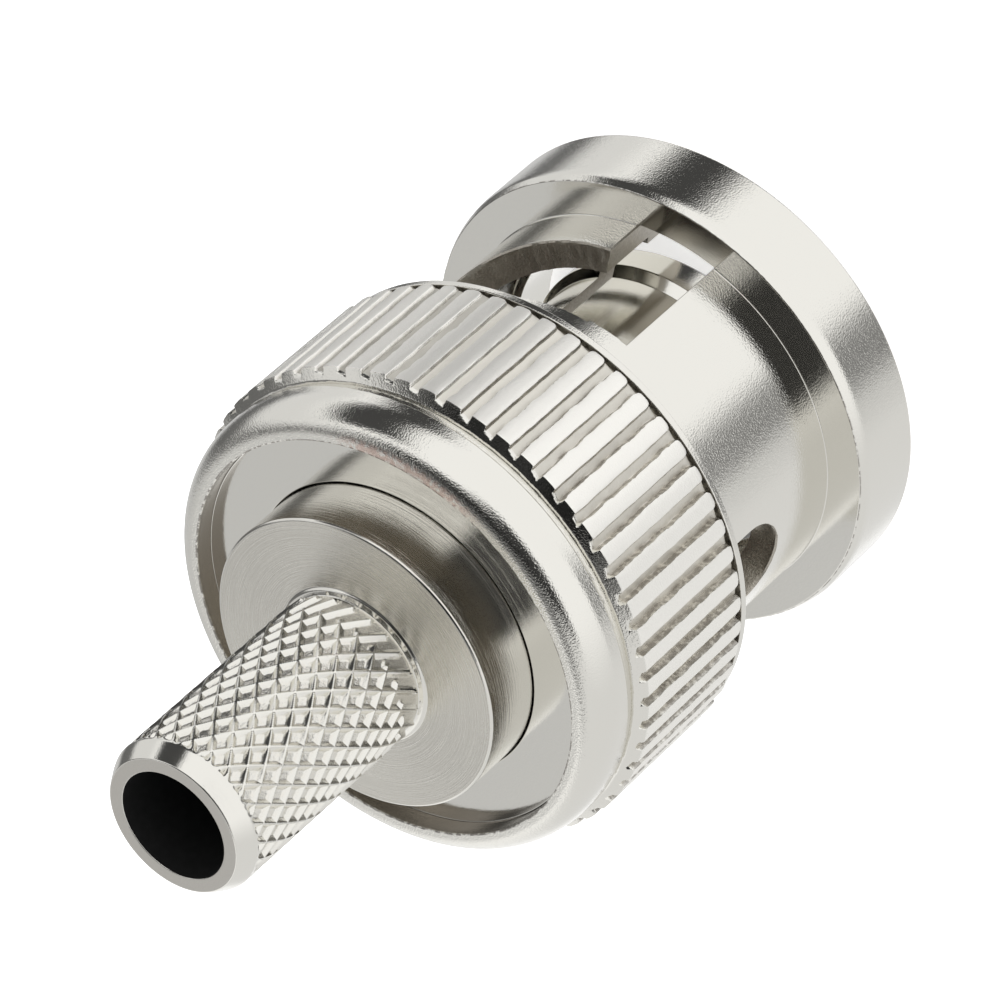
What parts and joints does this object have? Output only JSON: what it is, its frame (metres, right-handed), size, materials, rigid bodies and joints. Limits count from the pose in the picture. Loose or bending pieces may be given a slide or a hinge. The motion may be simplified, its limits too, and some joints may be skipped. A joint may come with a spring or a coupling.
{
  "type": "bnc connector",
  "caption": "Bayonet coaxial cable plug with a fluted turning nut, slotted front contact, pin and a knurled crimp stem for the cable.",
  "frame": {"origin": "centre of the mouth, in the plane of the coupling nut's front face, on which the plug stands", "axes": "+Z along the plug's axis from the mouth to the cable stem; +X through the entry of one bayonet slot"},
  "size_m": [0.0148, 0.0148, 0.0243],
  "materials": {
    "nickel_nut": "bright nickel plate on brass, polished",
    "nickel_body": "bright nickel plate on brass, with fine turning marks",
    "white_dielectric": "waxy white",
    "gold_contact": "gold plate",
    "silicone": "matt",
    "spring_metal": "rolled strip"
  },
  "bodies": {
    "plug": {"plug_body": "nickel_body", "insulator": "white_dielectric", "centre_pin": "gold_contact", "gasket": "silicone", "retaining_ring": "spring_metal", "fixed_washer": "spring_metal", "wave_washer": "spring_metal"},
    "thrust": {"thrust_washer": "spring_metal"},
    "nut": {"coupling_nut": "nickel_nut"}
  },
  "joints": [
    {"name": "nut_float", "type": "slide", "parent": "plug", "child": "thrust", "axis": [0, 0, -1], "range_m": [0, 0.0004], "stiffness_N_per_m": 600, "springref_m": -0.001, "deforming": ["wave_washer"]},
    {"name": "nut_turn", "type": "hinge", "parent": "thrust", "child": "nut", "pos_m": [0, 0, 0.0131], "axis": [0, 0, 1], "continuous": true}
  ]
}
